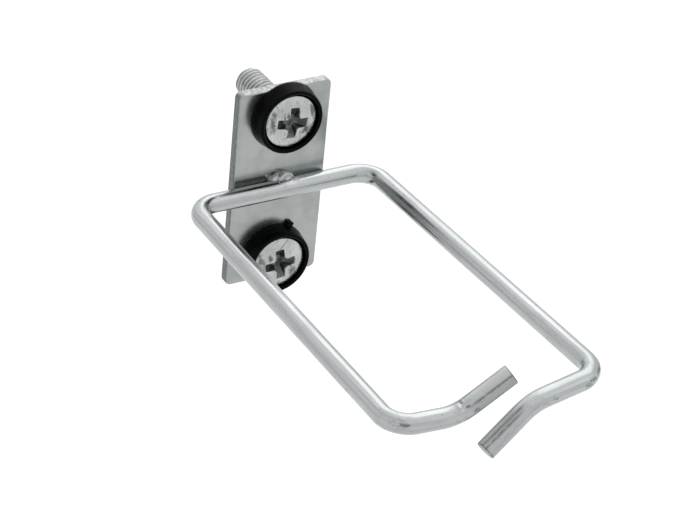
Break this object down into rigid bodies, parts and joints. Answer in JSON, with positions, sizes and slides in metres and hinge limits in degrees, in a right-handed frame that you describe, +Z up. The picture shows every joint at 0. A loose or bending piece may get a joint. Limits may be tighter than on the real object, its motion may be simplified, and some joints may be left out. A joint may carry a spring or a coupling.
{
  "type": "rack cable ring",
  "caption": "Bent rod ring for routing cables, with one tail bent up and the other down for a slanted mouth, welded to a flat plate that screws to a rack post through plastic cup washers.",
  "frame": {"origin": "midway between the two screws, on the plate's back face, where it meets the rack post", "axes": "+X along the plate's width, -Y out of the rack toward the ring's mouth, +Z up along the plate"},
  "size_m": [0.0461, 0.0992, 0.046],
  "materials": {
    "plate_zinc": "zinc plated, satin",
    "rod_zinc": "bright zinc plated",
    "weld_metal": "as welded, plated over",
    "screw_steel": "zinc plated, slightly dull",
    "black_plastic": "glossy moulded"
  },
  "bodies": {
    "root": {"mounting_plate": "plate_zinc", "wire_ring": "rod_zinc", "weld_bead": "weld_metal", "screw_upper": "screw_steel", "screw_lower": "screw_steel", "cup_washer_upper": "black_plastic", "cup_washer_lower": "black_plastic"}
  },
  "joints": []
}
